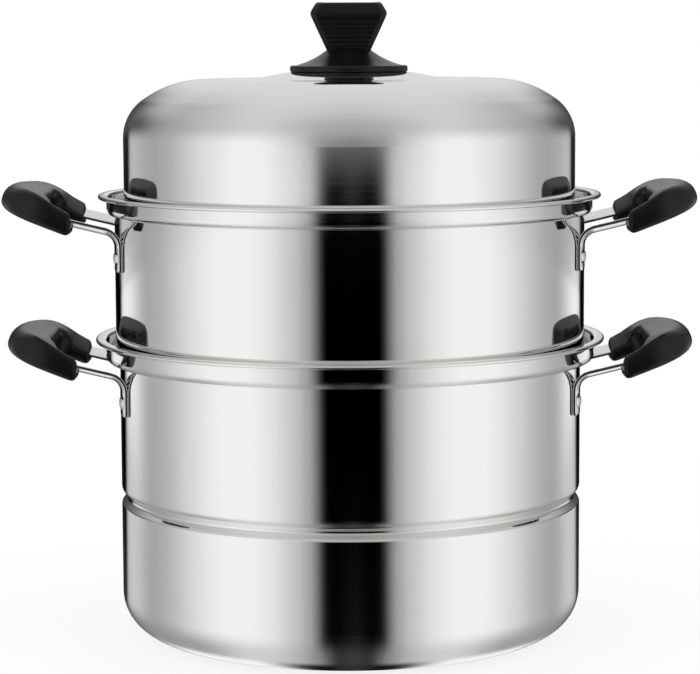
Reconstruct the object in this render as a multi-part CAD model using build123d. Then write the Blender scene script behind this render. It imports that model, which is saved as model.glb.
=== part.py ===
from build123d import *
from math import asin, atan2, cos, degrees, hypot, radians, sin
import os

# Three-tier steamer of spun stainless sheet. Millimetres, +Z up.
# The origin is the centre of the pot's base and the handles point along X.

# Sheet and edges that the pot, the tier and the lid share
sheet = 0.8
rolled_edge_diameter = 2.4
ledge_inner_bend = 0.5
overrun = 5.0

# Pot: base corner, plate groove, ledge, collar and flange
pot_radius = 140.0
pot_base_corner = 25.7
groove_height = 83.6
groove_depth = 4.1
groove_flank_below = 5.0
groove_flank_above = 6.0
groove_root_radius = 1.5
groove_lower_bend = 2.0
groove_upper_bend = 5.0
pot_rim_height = 181.0
pot_collar_depth = 14.6
pot_ledge_width = 8.5
pot_ledge_bend = 4.8
pot_flange_width = 5.9
flange_bend = 1.5

# Steamer tier: the neck drops into the pot's mouth, the wall stands on its ledge
tier_overhang = 2.2
tier_foot_bend = 1.0
neck_clearance = 0.8
neck_depth = 17.9
floor_corner = 5.0
tier_rise = 100.3
tier_collar_depth = 12.1
tier_ledge_width = 4.7
tier_ledge_bend = 3.5
tier_flange_width = 5.1

# Steam holes of the tier's floor and of the loose plate
steam_hole_diameter = 7.0
hole_ring_pitch = 24.0
holes_in_first_ring = 6
floor_ring_count = 4
plate_ring_count = 4

# Loose steam plate that lies on the groove
plate_thickness = 1.0
plate_wall_clearance = 0.9
seat_clearance = 0.3
plate_edge_radius = 0.4
finger_hole_diameter = 20.0
finger_hole_spacing = 84.0

# Lid: flange in the tier's collar, straight wall, two-radius shoulder, raised centre
lid_rise = 79.9
lid_edge_inset = 3.5
lid_flange_width = 7.0
lid_flange_bend = 2.5
lid_edge_rise = 0.2
lid_edge_radius = 1.1
shoulder_width = 31.0
shoulder_drop = 19.4
shoulder_upper_bend = 60.0
shoulder_lower_bend = 28.0
crown_foot_radius = 59.0
crown_top_radius = 37.0
crown_height = 4.0
crown_bend = 6.0

# Knob: round foot, flared neck and a six-sided blade
knob_foot_radius = 35.5
knob_foot_thickness = 3.4
knob_foot_edge = 1.4
knob_flare_radius = 50.0
knob_waist_width = 26.6
knob_waist_depth = 19.0
knob_waist_height = 13.3
knob_wide_width = 47.0
knob_wide_depth = 25.0
knob_wide_height = 35.2
knob_top_width = 38.6
knob_top_depth = 19.0
knob_height = 42.0
knob_top_dip = 0.9
knob_corner_cut = 3.2
knob_recess_depth = 1.6
knob_recess_inner_radius = 9.0
knob_recess_outer_radius = 31.0
knob_rib_count = 6
knob_rib_depth = 0.35
knob_rib_width = 0.9
knob_rib_pitch = 2.6
knob_rib_first_height = 17.5

# Knob fixing: a threaded insert in the knob, a screw and a washer under the lid
insert_diameter = 8.0
insert_length = 14.0
insert_bore_depth = 12.0
knob_screw_diameter = 4.0
thread_clearance = 0.05
screw_reach = 10.0
lid_hole_diameter = 4.6
washer_diameter = 12.0
washer_thickness = 1.0
washer_bore = 4.4
knob_screw_head_diameter = 8.0
knob_screw_head_height = 2.6
driver_slot_width = 1.2
driver_slot_depth = 1.2

# Handle strap: two feet riveted to the wall, two arms and a bar inside the grip.
# The arms keep the lean of the feet and twist flat inside the grip.
strap_width = 13.0
strap_thickness = 2.0
arm_offset = 41.0
arm_slope = 12.0
strap_bend = 10.0
foot_drop = 44.5
foot_corner = 3.0
arm_drop_at_wall = 18.6
bend_steps = 4
bar_twist_length = 12.0
bar_inner = 22.0
bar_outer = 35.0
bar_corner = 14.0
strap_level = 6.9

# Rivets: domed outside, flat inside
rivet_drop = 36.0
rivet_head_diameter = 9.0
rivet_head_height = 2.0
rivet_shank_diameter = 4.5
rivet_tail_diameter = 8.0
rivet_tail_height = 1.2

# Grip: a moulded U, tilted up and outwards, thicker towards its outer end
grip_tilt = 20.8
grip_reach = 25.8
grip_drop = 20.1
grip_length = 47.5
grip_width = 100.0
grip_end_thickness = 14.8
grip_outer_thickness = 20.2
grip_top_bend = 13.5
grip_bottom_bend = 5.0
grip_end_bend = 2.6
grip_end_top_bend = 8.0
grip_bow_radius = 90.0
grip_bow_inset = 0.4
grip_corner = 12.0
finger_gap_width = 64.0
finger_gap_depth = 19.0
finger_gap_corner = 9.0
grip_edge_radius = 1.6
slot_clearance = 0.1

# Grip screw: up through the bar into the moulding
grip_screw_diameter = 4.0
grip_screw_head_diameter = 7.6
grip_screw_head_height = 2.4
grip_screw_length = 9.0
grip_screw_recess_clearance = 0.3
bar_hole_clearance = 0.2

# Places that follow from the sizes above
edge_radius = rolled_edge_diameter / 2
pot_collar_radius = pot_radius + pot_ledge_width
pot_rim_radius = pot_collar_radius + pot_flange_width
pot_ledge_height = pot_rim_height - pot_collar_depth
pot_seat = pot_ledge_height + sheet
pot_bore = pot_radius - sheet
plate_radius = pot_bore - plate_wall_clearance
tier_radius = pot_radius + tier_overhang
tier_collar_radius = tier_radius + tier_ledge_width
tier_rim_radius = tier_collar_radius + tier_flange_width
tier_rim_height = pot_seat + tier_rise
tier_ledge_height = tier_rim_height - tier_collar_depth
tier_seat = tier_ledge_height + sheet
neck_radius = pot_bore - neck_clearance
floor_height = pot_seat - neck_depth
lid_flange_radius = tier_collar_radius - lid_edge_inset
lid_radius = lid_flange_radius - lid_flange_width
lid_top_height = tier_seat + lid_rise
shoulder_break_radius = lid_radius - shoulder_width
crown_top = lid_top_height + crown_height
sides = {"right": 0, "left": 180}


def spun(points, bends, side):
    """Sheet solid of revolution: its outer line, with one bend for each inner corner."""
    line = FilletPolyline(*points, radius=bends)
    section = make_face(offset(line, amount=sheet, side=side).edges())
    return revolve(Plane.XZ * section, Axis.Z)


def ring(radius, height, section_radius):
    """Solid rolled edge, round in section."""
    return revolve(Plane.XZ * Pos(radius, height) * Circle(section_radius), Axis.Z)


def steam_holes(ring_count, bottom, thickness):
    """Holes on rings of even pitch, with the same spacing along each ring."""
    drill = Cylinder(steam_hole_diameter / 2, thickness + 2 * overrun)
    middle = bottom + thickness / 2
    holes = [Pos(0, 0, middle) * drill]
    for index in range(1, ring_count + 1):
        spots = PolarLocations(index * hole_ring_pitch, index * holes_in_first_ring)
        holes += [Pos(0, 0, middle) * spot * drill for spot in spots]
    return holes


def foot_angle(wall_radius):
    """Angle round the pot at which the middle of a strap foot touches the wall."""
    return degrees(asin(arm_offset / (wall_radius + strap_thickness / 2)))


def rivet_places(wall_radius, rim_height, turn):
    """Radial frames at the wall's outer face, one for each rivet of a handle."""
    level = rim_height - rivet_drop
    places = []
    for hand in (1, -1):
        angle = turn + hand * foot_angle(wall_radius)
        places.append(Rot(0, 0, angle) * Pos(wall_radius, 0, level) * Rot(0, 90, 0))
    return places


def rivet_holes(wall_radius, rim_height):
    """Drills for the four rivets of a vessel."""
    drill = Cylinder(rivet_shank_diameter / 2, 4 * overrun)
    return [
        place * drill
        for turn in sides.values()
        for place in rivet_places(wall_radius, rim_height, turn)
    ]


def pot_body():
    """One stamping: rounded base, inward groove, ledge, collar and flange."""
    groove_root = pot_radius - groove_depth
    flange_under = pot_rim_height - sheet
    points = [
        (0, 0),
        (pot_radius, 0),
        (pot_radius, groove_height - groove_flank_below),
        (groove_root, groove_height),
        (pot_radius, groove_height + groove_flank_above),
        (pot_radius, pot_ledge_height),
        (pot_collar_radius, pot_ledge_height),
        (pot_collar_radius, flange_under),
        (pot_rim_radius - edge_radius, flange_under),
    ]
    bends = [
        pot_base_corner,
        groove_lower_bend,
        groove_root_radius,
        groove_upper_bend,
        ledge_inner_bend,
        pot_ledge_bend,
        flange_bend,
    ]
    body = spun(points, bends, Side.LEFT)
    body += ring(pot_rim_radius - edge_radius, pot_rim_height - edge_radius, edge_radius)
    return body - rivet_holes(pot_radius, pot_rim_height)


def tier_body():
    """Second stamping: perforated floor, neck, wall, ledge, collar and flange."""
    flange_under = tier_rim_height - sheet
    points = [
        (0, floor_height),
        (neck_radius, floor_height),
        (neck_radius, pot_seat),
        (tier_radius, pot_seat),
        (tier_radius, tier_ledge_height),
        (tier_collar_radius, tier_ledge_height),
        (tier_collar_radius, flange_under),
        (tier_rim_radius - edge_radius, flange_under),
    ]
    bends = [
        floor_corner,
        ledge_inner_bend,
        tier_foot_bend,
        ledge_inner_bend,
        tier_ledge_bend,
        flange_bend,
    ]
    body = spun(points, bends, Side.LEFT)
    body += ring(tier_rim_radius - edge_radius, tier_rim_height - edge_radius, edge_radius)
    body -= steam_holes(floor_ring_count, floor_height, sheet)
    return body - rivet_holes(tier_radius, tier_rim_height)


def groove_top_at(radius):
    """Height of the groove's upper flank, inside the pot, at a radius."""
    slope = groove_flank_above / groove_depth
    flank_length = hypot(groove_flank_above, groove_depth)
    radial_shift = sheet * groove_flank_above / flank_length
    rise = sheet * groove_depth / flank_length
    return groove_height + (radius + radial_shift - pot_radius + groove_depth) * slope + rise


def steam_plate():
    """Loose perforated disc whose edge lies on the groove, with two finger holes."""
    bottom = groove_top_at(plate_radius) + seat_clearance
    plate = Pos(0, 0, bottom + plate_thickness / 2) * Cylinder(plate_radius, plate_thickness)
    plate = fillet(plate.edges(), plate_edge_radius)
    plate -= steam_holes(plate_ring_count, bottom, plate_thickness)
    lift = Cylinder(finger_hole_diameter / 2, 2 * overrun)
    for hand in (1, -1):
        plate -= Pos(0, hand * finger_hole_spacing, bottom) * lift
    return plate


def lid_shell():
    """Third stamping: flange, wall, shoulder, flat ring and raised centre."""
    flange_top = tier_seat + sheet
    points = [
        (lid_hole_diameter / 2, crown_top),
        (crown_top_radius, crown_top),
        (crown_foot_radius, lid_top_height),
        (shoulder_break_radius, lid_top_height),
        (lid_radius, lid_top_height - shoulder_drop),
        (lid_radius, flange_top),
        (lid_flange_radius, flange_top),
    ]
    bends = [
        crown_bend,
        crown_bend,
        shoulder_upper_bend,
        shoulder_lower_bend,
        lid_flange_bend,
    ]
    shell = spun(points, bends, Side.RIGHT)
    return shell + ring(lid_flange_radius, tier_seat + lid_edge_rise + lid_edge_radius, lid_edge_radius)


def blade_section(width, depth, height):
    """Outline of the knob's blade at one height: a rectangle with cut corners."""
    outline = Rectangle(width, depth)
    outline = chamfer(outline.vertices(), knob_corner_cut)
    return Pos(0, 0, crown_top + height) * outline


def knob_foot():
    """Round foot that sweeps up to the waist, recessed below."""
    foot_top = crown_top + knob_foot_thickness
    waist = crown_top + knob_waist_height
    waist_radius = knob_waist_width / 2
    outline = [
        Line((0, crown_top), (knob_foot_radius, crown_top)),
        Line((knob_foot_radius, crown_top), (knob_foot_radius, foot_top)),
        RadiusArc((knob_foot_radius, foot_top), (waist_radius, waist), knob_flare_radius),
        Line((waist_radius, waist), (0, waist)),
        Line((0, waist), (0, crown_top)),
    ]
    foot = revolve(Plane.XZ * make_face(outline), Axis.Z)
    rim = foot.edges().filter_by(GeomType.CIRCLE).sort_by(lambda edge: edge.radius)[-2:]
    foot = fillet(rim, knob_foot_edge)
    recess = Cylinder(knob_recess_outer_radius, knob_recess_depth)
    recess -= Cylinder(knob_recess_inner_radius, knob_recess_depth)
    return foot - Pos(0, 0, crown_top + knob_recess_depth / 2) * recess


def knob_ribs():
    """Shallow level grooves across the front and back of the blade."""
    taper = (knob_wide_depth - knob_waist_depth) / (knob_wide_height - knob_waist_height)
    cutters = []
    for index in range(knob_rib_count):
        height = knob_rib_first_height + index * knob_rib_pitch
        depth = knob_waist_depth + taper * (height - knob_waist_height)
        for hand in (1, -1):
            face = hand * (depth / 2 - knob_rib_depth + overrun / 2)
            groove = Box(knob_wide_width, overrun, knob_rib_width)
            cutters.append(Pos(0, face, crown_top + height) * groove)
    return cutters


def lid_knob():
    """Moulded knob with a bored hole for its threaded insert."""
    waist = blade_section(knob_waist_width, knob_waist_depth, knob_waist_height)
    widest = blade_section(knob_wide_width, knob_wide_depth, knob_wide_height)
    top = blade_section(knob_top_width, knob_top_depth, knob_height)
    blade = loft([waist, widest], ruled=True) + loft([widest, top], ruled=True)
    dip_radius = ((knob_top_width / 2) ** 2 + knob_top_dip**2) / (2 * knob_top_dip)
    dip_centre = crown_top + knob_height - knob_top_dip + dip_radius
    blade -= Pos(0, 0, dip_centre) * Rot(90, 0, 0) * Cylinder(dip_radius, knob_wide_width)
    blade -= knob_ribs()
    bore = Cylinder(insert_diameter / 2, insert_length, align=(Align.CENTER, Align.CENTER, Align.MIN))
    return knob_foot() + blade - Pos(0, 0, crown_top) * bore


def knob_insert():
    """Threaded bush moulded into the knob."""
    bottom_up = (Align.CENTER, Align.CENTER, Align.MIN)
    bush = Cylinder(insert_diameter / 2, insert_length, align=bottom_up)
    bore_radius = knob_screw_diameter / 2 + thread_clearance
    bush -= Cylinder(bore_radius, insert_bore_depth, align=bottom_up)
    return Pos(0, 0, crown_top) * bush


def knob_washer():
    """Flat washer between the screw's head and the underside of the lid."""
    washer = Cylinder(washer_diameter / 2, washer_thickness) - Cylinder(washer_bore / 2, washer_thickness)
    return Pos(0, 0, crown_top - sheet - washer_thickness / 2) * washer


def knob_screw():
    """Slotted screw from inside the lid, up into the insert."""
    seat = crown_top - sheet - washer_thickness
    bottom_up = (Align.CENTER, Align.CENTER, Align.MIN)
    shank_length = crown_top + screw_reach - seat
    screw = Cylinder(knob_screw_diameter / 2, shank_length, align=bottom_up)
    head = Pos(0, 0, -knob_screw_head_height / 2)
    screw += head * Cylinder(knob_screw_head_diameter / 2, knob_screw_head_height)
    slot = Box(knob_screw_head_diameter, driver_slot_width, driver_slot_depth)
    screw -= Pos(0, 0, -knob_screw_head_height + driver_slot_depth / 2) * slot
    return Pos(0, 0, seat) * screw


def grip_frame(wall_radius, rim_height):
    """Frame of a grip: its origin is the lower edge of the ends, X runs outwards."""
    return Pos(wall_radius + grip_reach, 0, rim_height - grip_drop) * Rot(0, -grip_tilt, 0)


def strap_section(centre, lean, slope, clearance=0.0):
    """Cross-section of the strap: it leans as its foot does and runs at a slope from upright."""
    lean, slope = radians(lean), radians(slope)
    along = Vector(sin(slope), 0, cos(slope))
    across = Vector(-sin(lean) * cos(slope), cos(lean), sin(lean) * sin(slope))
    width = strap_width + 2 * clearance
    thickness = strap_thickness + 2 * clearance
    return Plane(origin=centre, x_dir=across, z_dir=along) * Rectangle(width, thickness)


def bend_start(wall_radius, rim_height):
    """Middle of the strap where its foot ends and its bend begins."""
    angle = radians(foot_angle(wall_radius))
    turn = radians(90 - arm_slope)
    level = rim_height - arm_drop_at_wall - strap_bend * sin(turn)
    return Vector((wall_radius + strap_thickness / 2) * cos(angle), arm_offset, level)


def along_bend(wall_radius, rim_height, slope):
    """Middle of the strap where its bend has turned it by a slope from upright."""
    slope = radians(slope)
    return bend_start(wall_radius, rim_height) + strap_bend * Vector(1 - cos(slope), 0, sin(slope))


def strap_arm(wall_radius, rim_height, clearance=0.0):
    """The arm from its bend to the grip, then its twist until it lies flat in the grip."""
    lean = foot_angle(wall_radius)
    turn = 90 - arm_slope
    frame = grip_frame(wall_radius, rim_height)
    start = along_bend(wall_radius, rim_height, turn)
    entry = (frame * Pos(0, arm_offset, strap_level)).position
    flat_start = (frame * Pos(bar_twist_length, arm_offset, strap_level)).position
    rise = degrees(atan2(entry.Z - start.Z, entry.X - start.X))
    first = strap_section(start, lean, turn, clearance)
    mitre = strap_section(entry, lean, 90 - (rise + grip_tilt) / 2, clearance)
    flat = strap_section(flat_start, 0, 90 - grip_tilt, clearance)
    return loft([first, mitre], ruled=True) + loft([mitre, flat], ruled=True)


def strap_foot(wall_radius, rim_height):
    """One foot with its bend."""
    lean = foot_angle(wall_radius)
    turn = 90 - arm_slope
    slopes = [turn * step / bend_steps for step in range(bend_steps + 1)]
    bend = loft(
        [strap_section(along_bend(wall_radius, rim_height, slope), lean, slope) for slope in slopes]
    )

    foot_bottom = rim_height - foot_drop
    foot_height = bend_start(wall_radius, rim_height).Z - foot_bottom
    foot_depth = 2 * strap_thickness
    foot = Box(foot_depth, strap_width, foot_height)
    lower = foot.edges().filter_by(Axis.X).group_by(Axis.Z)[0]
    foot = fillet(lower, foot_corner)
    radial = wall_radius + strap_thickness - foot_depth / 2
    foot = Rot(0, 0, lean) * Pos(radial, 0, foot_bottom + foot_height / 2) * foot
    foot -= Pos(0, 0, foot_bottom) * Cylinder(wall_radius, 4 * foot_height)
    return foot + bend


def strap_bar(clearance=0.0):
    """Flat U of the strap inside the grip, in the grip's frame."""
    outer_half = arm_offset + strap_width / 2 + clearance
    inner_half = arm_offset - strap_width / 2 - clearance
    outer = bar_outer + clearance
    middle = (bar_twist_length + outer) / 2
    plan = Pos(middle, 0) * Rectangle(outer - bar_twist_length, 2 * outer_half)
    far = plan.vertices().group_by(Axis.X)[-1]
    plan = fillet(far, bar_corner)
    inner = bar_inner - clearance
    plan -= Pos(inner / 2, 0) * Rectangle(inner, 2 * inner_half)
    thickness = strap_thickness + 2 * clearance
    return Pos(0, 0, strap_level - thickness / 2) * extrude(plan, amount=thickness)


def strap_loop(wall_radius, rim_height, clearance=0.0):
    """Both arms and the bar that joins them inside the grip."""
    arm = strap_arm(wall_radius, rim_height, clearance)
    bar = grip_frame(wall_radius, rim_height) * strap_bar(clearance)
    return bar + arm + mirror(arm, about=Plane.XZ)


def strap(wall_radius, rim_height):
    """The whole bent strap of the right-hand handle."""
    screw_hole = Cylinder(grip_screw_diameter / 2 + bar_hole_clearance, 2 * overrun)
    foot = strap_foot(wall_radius, rim_height)
    whole = strap_loop(wall_radius, rim_height) + foot + mirror(foot, about=Plane.XZ)
    whole -= grip_frame(wall_radius, rim_height) * Pos(screw_offset(), 0, strap_level) * screw_hole
    return whole - rivet_holes(wall_radius, rim_height)


def screw_offset():
    """Distance of the grip screw from the ends of the grip, at the middle of the bar."""
    return (bar_inner + bar_outer) / 2


def grip(wall_radius, rim_height):
    """Moulded U with slots for the strap and a stepped hole for the screw."""
    side_length = grip_length + grip_bow_inset
    side = FilletPolyline(
        (0, 0),
        (side_length, 0),
        (side_length, grip_outer_thickness),
        (0, grip_end_thickness),
        radius=[grip_end_bend, grip_bottom_bend, grip_top_bend, grip_end_top_bend],
        close=True,
    )
    body = extrude(Plane.XZ * make_face(side.edges()), amount=grip_width / 2, both=True)

    plan = Pos(grip_length / 2, 0) * Rectangle(grip_length, grip_width)
    plan = plan & Pos(grip_length - grip_bow_radius, 0) * Circle(grip_bow_radius)
    plan = fillet(plan.vertices().group_by(Axis.X)[-1], grip_corner)
    gap = Rectangle(2 * finger_gap_depth, finger_gap_width)
    plan -= fillet(gap.vertices(), finger_gap_corner)
    body = body & Pos(0, 0, -overrun) * extrude(plan, amount=grip_outer_thickness + 2 * overrun)
    body = fillet(body.edges(), grip_edge_radius)

    bar_slot = Box(
        bar_outer - finger_gap_depth,
        finger_gap_width - 2 * finger_gap_corner,
        strap_thickness + 2 * slot_clearance,
    )
    body -= Pos((finger_gap_depth + bar_inner) / 2, 0, strap_level) * bar_slot
    recess_radius = grip_screw_head_diameter / 2 + grip_screw_recess_clearance
    bottom_up = (Align.CENTER, Align.CENTER, Align.MIN)
    body -= Pos(screw_offset(), 0, 0) * Cylinder(recess_radius, strap_level, align=bottom_up)
    thread = Cylinder(grip_screw_diameter / 2 + thread_clearance, grip_screw_length, align=bottom_up)
    body -= Pos(screw_offset(), 0, strap_level) * thread
    body = grip_frame(wall_radius, rim_height) * body
    return body - strap_loop(wall_radius, rim_height, slot_clearance)


def grip_screw(wall_radius, rim_height):
    """Slotted screw that holds the bar in the grip from below."""
    bottom_up = (Align.CENTER, Align.CENTER, Align.MIN)
    head_top = strap_level - strap_thickness / 2
    head_middle = head_top - grip_screw_head_height / 2
    screw = Pos(0, 0, head_middle) * Cylinder(grip_screw_head_diameter / 2, grip_screw_head_height)
    screw += Pos(0, 0, head_top) * Cylinder(grip_screw_diameter / 2, grip_screw_length, align=bottom_up)
    slot = Box(grip_screw_head_diameter, driver_slot_width, driver_slot_depth)
    screw -= Pos(0, 0, head_top - grip_screw_head_height + driver_slot_depth / 2) * slot
    return grip_frame(wall_radius, rim_height) * Pos(screw_offset(), 0, 0) * screw


def rivet(place, wall_radius):
    """Domed head outside, shank through strap and wall, flat tail against the bore."""
    head_radius = rivet_head_diameter / 2
    dome_radius = (head_radius**2 + rivet_head_height**2) / (2 * rivet_head_height)
    dome = Pos(0, 0, strap_thickness + rivet_head_height - dome_radius) * Sphere(dome_radius)
    bottom_up = (Align.CENTER, Align.CENTER, Align.MIN)
    dome &= Pos(0, 0, strap_thickness) * Cylinder(head_radius, rivet_head_height, align=bottom_up)
    shank = Pos(0, 0, -sheet - rivet_tail_height / 2) * Cylinder(
        rivet_shank_diameter / 2, strap_thickness + sheet + rivet_tail_height, align=bottom_up
    )
    tail = Pos(0, 0, -sheet - rivet_tail_height) * Cylinder(
        rivet_tail_diameter / 2, rivet_tail_height + sheet, align=bottom_up
    )
    tail = place * tail & Cylinder(wall_radius - sheet, 2 * tier_rim_height)
    return place * dome + place * shank + tail


def rivets(wall_radius, rim_height, turn):
    """The two rivets of one handle, as separate solids."""
    return Compound(
        children=[
            rivet(place, wall_radius).solid() for place in rivet_places(wall_radius, rim_height, turn)
        ]
    )


def handle_nodes(vessel, wall_radius, rim_height):
    """Strap, grip, screw and rivets of both handles of a vessel."""
    nodes = {}
    for side, turn in sides.items():
        about_axis = Rot(0, 0, turn)
        nodes[f"{vessel}_strap_{side}"] = about_axis * strap(wall_radius, rim_height)
        nodes[f"{vessel}_grip_{side}"] = about_axis * grip(wall_radius, rim_height)
        nodes[f"{vessel}_grip_screw_{side}"] = about_axis * grip_screw(wall_radius, rim_height)
        nodes[f"{vessel}_rivets_{side}"] = rivets(wall_radius, rim_height, turn)
    return nodes


nodes = {
    "pot_body": pot_body(),
    "steam_plate": steam_plate(),
    "tier_body": tier_body(),
    "lid_shell": lid_shell(),
    "lid_knob": lid_knob(),
    "knob_insert": knob_insert(),
    "knob_washer": knob_washer(),
    "knob_screw": knob_screw(),
}
nodes.update(handle_nodes("pot", pot_radius, pot_rim_height))
nodes.update(handle_nodes("tier", tier_radius, tier_rim_height))

os.makedirs("parts", exist_ok=True)
for name, shape in nodes.items():
    export_step(shape, f"parts/{name}.step")
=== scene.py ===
from math import asin, atan2, cos, degrees, hypot, pi, radians, sin, sqrt, tan

import bmesh
import bpy
from mathutils import Matrix, Vector


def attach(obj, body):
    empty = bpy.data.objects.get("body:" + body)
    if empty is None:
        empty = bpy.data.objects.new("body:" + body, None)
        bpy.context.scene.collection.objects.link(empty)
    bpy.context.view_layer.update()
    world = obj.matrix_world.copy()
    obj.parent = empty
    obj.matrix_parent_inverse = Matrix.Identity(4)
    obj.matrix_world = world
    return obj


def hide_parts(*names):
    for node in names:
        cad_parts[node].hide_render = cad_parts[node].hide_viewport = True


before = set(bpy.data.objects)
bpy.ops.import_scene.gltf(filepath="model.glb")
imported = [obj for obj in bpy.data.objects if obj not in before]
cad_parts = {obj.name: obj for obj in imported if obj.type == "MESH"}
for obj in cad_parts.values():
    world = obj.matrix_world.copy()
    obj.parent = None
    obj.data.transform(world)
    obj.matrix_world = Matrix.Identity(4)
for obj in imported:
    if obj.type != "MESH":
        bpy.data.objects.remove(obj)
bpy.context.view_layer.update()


# Viewpoint: a long lens, a little above the lid's flat ring, so that every rim is a thin
# ellipse. The slight roll is the photograph's own.
view_distance = 1.5708  # metres from the pot's axis
view_height = 0.3632  # metres above its base
view_pitch = radians(6.684)
view_roll = radians(0.25)
lens = bpy.data.cameras.new("long_lens")
lens.sensor_width = 36.0
lens.lens = 133.2
viewpoint = bpy.data.objects.new("viewpoint", lens)
bpy.context.collection.objects.link(viewpoint)
viewpoint.matrix_world = (
    Matrix.Translation((0, -view_distance, view_height))
    @ Matrix.Rotation(pi / 2 - view_pitch, 4, "X")
    @ Matrix.Rotation(-view_roll, 4, "Z")
)
bpy.context.scene.camera = viewpoint


# Pot body: one deep-drawn stamping of stainless sheet, mirror polished outside and inside.
# Its edge is rolled over, a ledge under the rim carries the tier, and a groove pressed in
# from outside carries the steam plate.
mm = 0.001  # sizes are in millimetres until a mesh or a tree takes them
doubles = 0.001 * mm  # points nearer than this are one
hold = 0.5  # length of the short step inside each end of a straight run
sharp_bend = radians(48)  # faces that meet at more than this keep a sharp edge
steps_round = 256
sheet = 0.8
roll = 1.2
pot_wall = 140.0
pot_rim = 154.395
pot_rim_height = 181.0
pot_ledge = 166.4
pot_collar = 148.5
groove_radius = 135.9
groove_foot, groove_middle, groove_top = 80.1, 83.6, 89.6


def linear(hex_colour):
    """Linear RGBA of an sRGB colour written as #RRGGBB."""
    channels = [int(hex_colour[start:start + 2], 16) / 255 for start in (1, 3, 5)]
    return tuple(c / 12.92 if c <= 0.04045 else ((c + 0.055) / 1.055) ** 2.4 for c in channels) + (1.0,)


def add_node(tree, kind, inputs=(), **settings):
    """Adds a node: settings first, then its inputs in order, or by name or number. An input is
    a value, a socket, a node that stands for its first output, or a list of them."""
    node = tree.nodes.new(kind)
    for name, value in settings.items():
        setattr(node, name, value)
    if not isinstance(inputs, dict):
        inputs = dict(enumerate(inputs))
    for socket, value in inputs.items():
        for source in value if isinstance(value, list) else [value]:
            if isinstance(source, bpy.types.Node):
                source = source.outputs[0]
            if isinstance(source, bpy.types.NodeSocket):
                tree.links.new(source, node.inputs[socket])
            else:
                node.inputs[socket].default_value = source
    return node


def new_tree(name, sockets):
    """A Geometry Nodes tree that hands out one piece, and the outputs of its named inputs."""
    tree = bpy.data.node_groups.new(name, "GeometryNodeTree")
    for socket, kind in sockets.items():
        tree.interface.new_socket(socket, in_out="INPUT", socket_type="NodeSocket" + kind)
    tree.interface.new_socket("Piece", in_out="OUTPUT", socket_type="NodeSocketGeometry")
    return tree, add_node(tree, "NodeGroupInput").outputs


def end_tree(tree, geometry, material):
    """Ends a tree: instances made real, the material set and the piece handed out."""
    real = add_node(tree, "GeometryNodeRealizeInstances", {"Geometry": geometry})
    finished = add_node(tree, "GeometryNodeSetMaterial", {"Geometry": real, "Material": material})
    add_node(tree, "NodeGroupOutput", {"Piece": finished})


def new_material(name, colour, values):
    """A material of one sRGB colour, with the other values of its surface by name."""
    material = bpy.data.materials.new(name)
    material.use_nodes = True
    surface = material.node_tree.nodes["Principled BSDF"]
    for socket, value in {"Base Color": linear(colour), **values}.items():
        surface.inputs[socket].default_value = value
    return material


def uneven_gloss(material, pattern, least, most):
    """Varies a material's roughness with a noise pattern, which mostly lies from 0.3 to 0.7."""
    tree = material.node_tree
    gloss = add_node(
        tree,
        "ShaderNodeMapRange",
        {"Value": pattern, "From Min": 0.3, "From Max": 0.7, "To Min": least, "To Max": most},
    )
    tree.links.new(gloss.outputs[0], tree.nodes["Principled BSDF"].inputs["Roughness"])


def new_piece(name, mesh):
    """A mesh as an object of the scene."""
    piece = bpy.data.objects.new(name, mesh)
    bpy.context.collection.objects.link(piece)
    return piece


def worked_in(piece):
    """The mesh of a piece with its modifiers worked in."""
    return bpy.data.meshes.new_from_object(piece.evaluated_get(bpy.context.evaluated_depsgraph_get()))


def faces_outwards(piece):
    """Merges doubles, turns every face of a closed mesh outwards and shades its bends smooth."""
    shape = bmesh.new()
    shape.from_mesh(piece.data)
    bmesh.ops.remove_doubles(shape, verts=shape.verts, dist=doubles)
    bmesh.ops.recalc_face_normals(shape, faces=shape.faces)
    shape.to_mesh(piece.data)
    shape.free()
    piece.data.shade_smooth()
    piece.data.set_sharp_from_angle(angle=sharp_bend)


def plain_mesh(piece, node_tree, values):
    """Runs a tree on a piece and keeps the result as a plain mesh, faces outwards."""
    modifier = piece.modifiers.new(node_tree.name, "NODES")
    modifier.node_group = node_tree
    for item in node_tree.interface.items_tree:
        if item.name in values:
            modifier[item.identifier] = values[item.name]
    mesh = worked_in(piece)
    piece.modifiers.remove(modifier)
    piece.data = mesh
    faces_outwards(piece)
    return piece


def bent_line(corners, bends, arc_step=radians(6)):
    """Points of a bent sheet's line, each with its left-hand normal. Straight runs get a
    point just inside each end, which keeps their reflections straight."""
    corners = [Vector(corner) for corner in corners]
    line = []
    start = corners[0]
    for index in range(1, len(corners)):
        corner = corners[index]
        way = (corner - corners[index - 1]).normalized()
        normal = Vector((-way.y, way.x))
        end, arc = corner, []
        if index < len(corners) - 1:
            onward = (corners[index + 1] - corner).normalized()
            turn = atan2(way.cross(onward), way.dot(onward))
            radius = bends[index - 1]
            end = corner - way * radius * tan(abs(turn) / 2)
            hand = 1 if turn > 0 else -1
            centre = end + normal * hand * radius
            steps = max(2, round(abs(turn) / arc_step))
            for step in range(1, steps + 1):
                spun = Matrix.Rotation(turn * step / steps, 2) @ normal
                arc.append((centre - spun * hand * radius, spun))
        inset = min(hold, (end - start).length / 3)
        line += [(start, normal), (start + way * inset, normal), (end - way * inset, normal), (end, normal)]
        line += arc[:-1]
        start = arc[-1][0] if arc else end
    return line


def round_edge(centre, radius, first, last, steps=14):
    """Points along the outside of a rolled edge, between two angles in degrees."""
    turns = [radians(first + (last - first) * step / steps) for step in range(steps + 1)]
    return [Vector(centre) + radius * Vector((cos(turn), sin(turn))) for turn in turns]


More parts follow.
